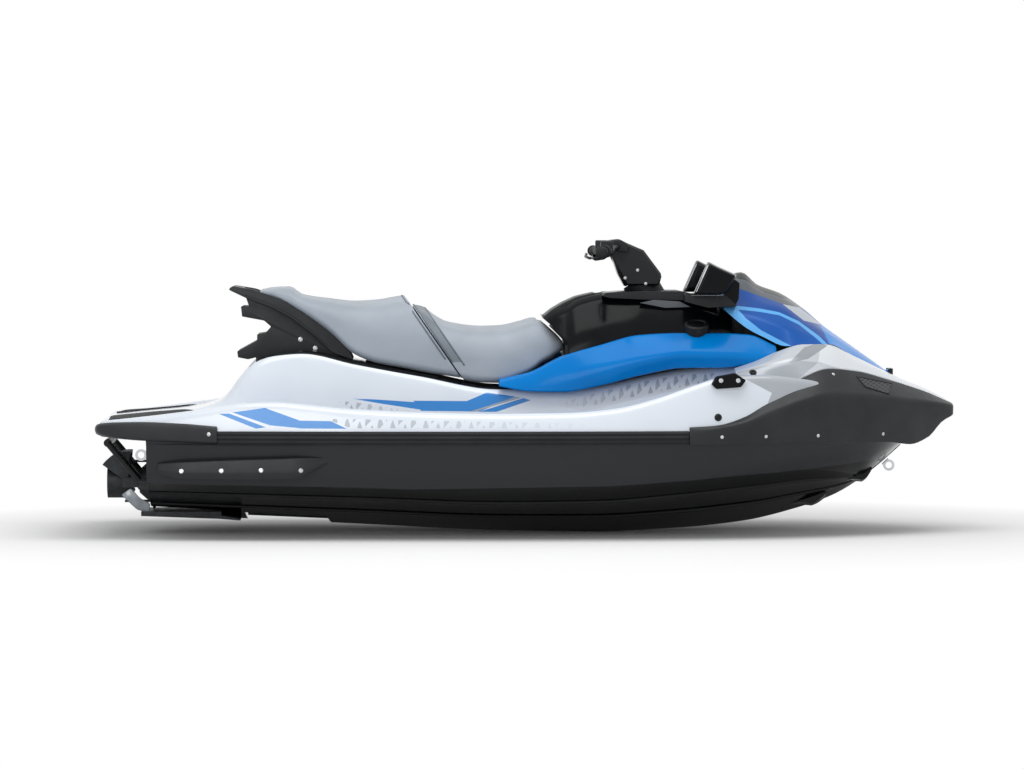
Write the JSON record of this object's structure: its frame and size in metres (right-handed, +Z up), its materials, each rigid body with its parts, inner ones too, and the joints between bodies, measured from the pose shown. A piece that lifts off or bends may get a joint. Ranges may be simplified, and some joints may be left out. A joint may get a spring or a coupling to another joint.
{
  "type": "personal watercraft",
  "caption": "Sit-down personal watercraft with a V-bottomed hull, long seat, storage hood, raised handlebar and jet pump with steering nozzle and reverse bucket.",
  "frame": {"origin": "on the waterline at rest, on the centre line, at the middle of the overall length; the lowest point of the keel is 0.268 m below it", "axes": "+X forward to the bow, +Y to port, +Z up"},
  "size_m": [3.1465, 1.2082, 1.0847],
  "materials": {
    "white_gelcoat": "gloss",
    "hull_gelcoat": "gloss",
    "blue_gelcoat": "gloss",
    "silver_panel": "gloss",
    "black_gloss": "gloss",
    "satin_plastic": "satin",
    "black_plastic": "satin",
    "black_rubber": "matte",
    "seat_vinyl": "soft",
    "cast_alloy": "cast",
    "stainless": "brushed",
    "engine_paint": "satin",
    "mirror_glass": "polished"
  },
  "bodies": {
    "hull_body": {"hull": "hull_gelcoat", "deck": "white_gelcoat", "engine": "engine_paint", "bow_bumper": "satin_plastic", "nose_cover": "silver_panel", "side_cover_right": "blue_gelcoat", "side_cover_left": "blue_gelcoat", "console": "black_gloss", "seat_hinge": "stainless", "rub_rail_right": "black_rubber", "rub_rail_left": "black_rubber", "stern_bumper": "black_rubber", "sponson_right": "black_plastic", "sponson_left": "black_plastic", "pump_housing": "cast_alloy", "intake_grate": "cast_alloy", "ride_plate": "cast_alloy", "step_mounts": "stainless", "stern_eye_right": "stainless", "stern_eye_left": "stainless", "bow_eye": "stainless", "grab_handle": "black_plastic", "seat_bracket": "black_plastic", "hood_hinge": "stainless", "instrument_pod": "black_plastic", "steering_base": "black_plastic", "cleat_right": "black_plastic", "cleat_left": "black_plastic", "fuel_cap": "black_plastic"},
    "seat_rear_body": {"seat_rear": "seat_vinyl"},
    "seat_front_body": {"seat_front": "seat_vinyl"},
    "hood_body": {"hood": "blue_gelcoat", "mirror_right": "black_gloss", "mirror_left": "black_gloss"},
    "lid_body": {"glovebox_lid": "black_gloss"},
    "steering": {"steering_pole": "black_plastic", "handlebar": "black_plastic", "grip_right": "black_rubber", "grip_left": "black_rubber"},
    "nozzle_body": {"steering_nozzle": "cast_alloy"},
    "bucket_body": {"reverse_bucket": "black_plastic"},
    "impeller_body": {"impeller": "stainless", "drive_shaft": "stainless"},
    "step_body": {"boarding_step": "black_rubber"}
  },
  "joints": [
    {"name": "steering_turn", "type": "hinge", "parent": "hull_body", "child": "steering", "pos_m": [0.43, 0, 0.637], "axis": [-0.5075, 0, 0.8616], "range_deg": [-20, 20]},
    {"name": "nozzle_swing", "type": "hinge", "parent": "hull_body", "child": "nozzle_body", "pos_m": [-1.475, 0, -0.073], "axis": [0, 0, 1], "range_deg": [-20, 20]},
    {"name": "bucket_turn", "type": "hinge", "parent": "hull_body", "child": "bucket_body", "pos_m": [-1.475, 0, -0.073], "axis": [0, -1, 0], "range_deg": [0, 65]},
    {"name": "impeller_spin", "type": "hinge", "parent": "hull_body", "child": "impeller_body", "pos_m": [-1.225, 0, -0.073], "axis": [1, 0, 0], "continuous": true},
    {"name": "step_fold", "type": "hinge", "parent": "hull_body", "child": "step_body", "pos_m": [-1.415, 0, -0.078], "axis": [0, -1, 0], "range_deg": [0, 100]},
    {"name": "hood_open", "type": "hinge", "parent": "hull_body", "child": "hood_body", "pos_m": [1.344, 0, 0.334], "axis": [0, 1, 0], "range_deg": [0, 45]},
    {"name": "glovebox_open", "type": "hinge", "parent": "hull_body", "child": "lid_body", "pos_m": [0.265, 0, 0.614], "axis": [0, 1, 0], "range_deg": [0, 45]},
    {"name": "seat_rear_lift", "type": "slide", "parent": "hull_body", "child": "seat_rear_body", "axis": [-0.5683, 0, 0.8228], "range_m": [0, 0.15]},
    {"name": "seat_front_tilt", "type": "hinge", "parent": "hull_body", "child": "seat_front_body", "pos_m": [0.046, 0, 0.512], "axis": [0, 1, 0], "range_deg": [0, 35]}
  ],
  "couplings": [
    {"joint": "nozzle_swing", "follows": "steering_turn", "ratio": -1}
  ]
}
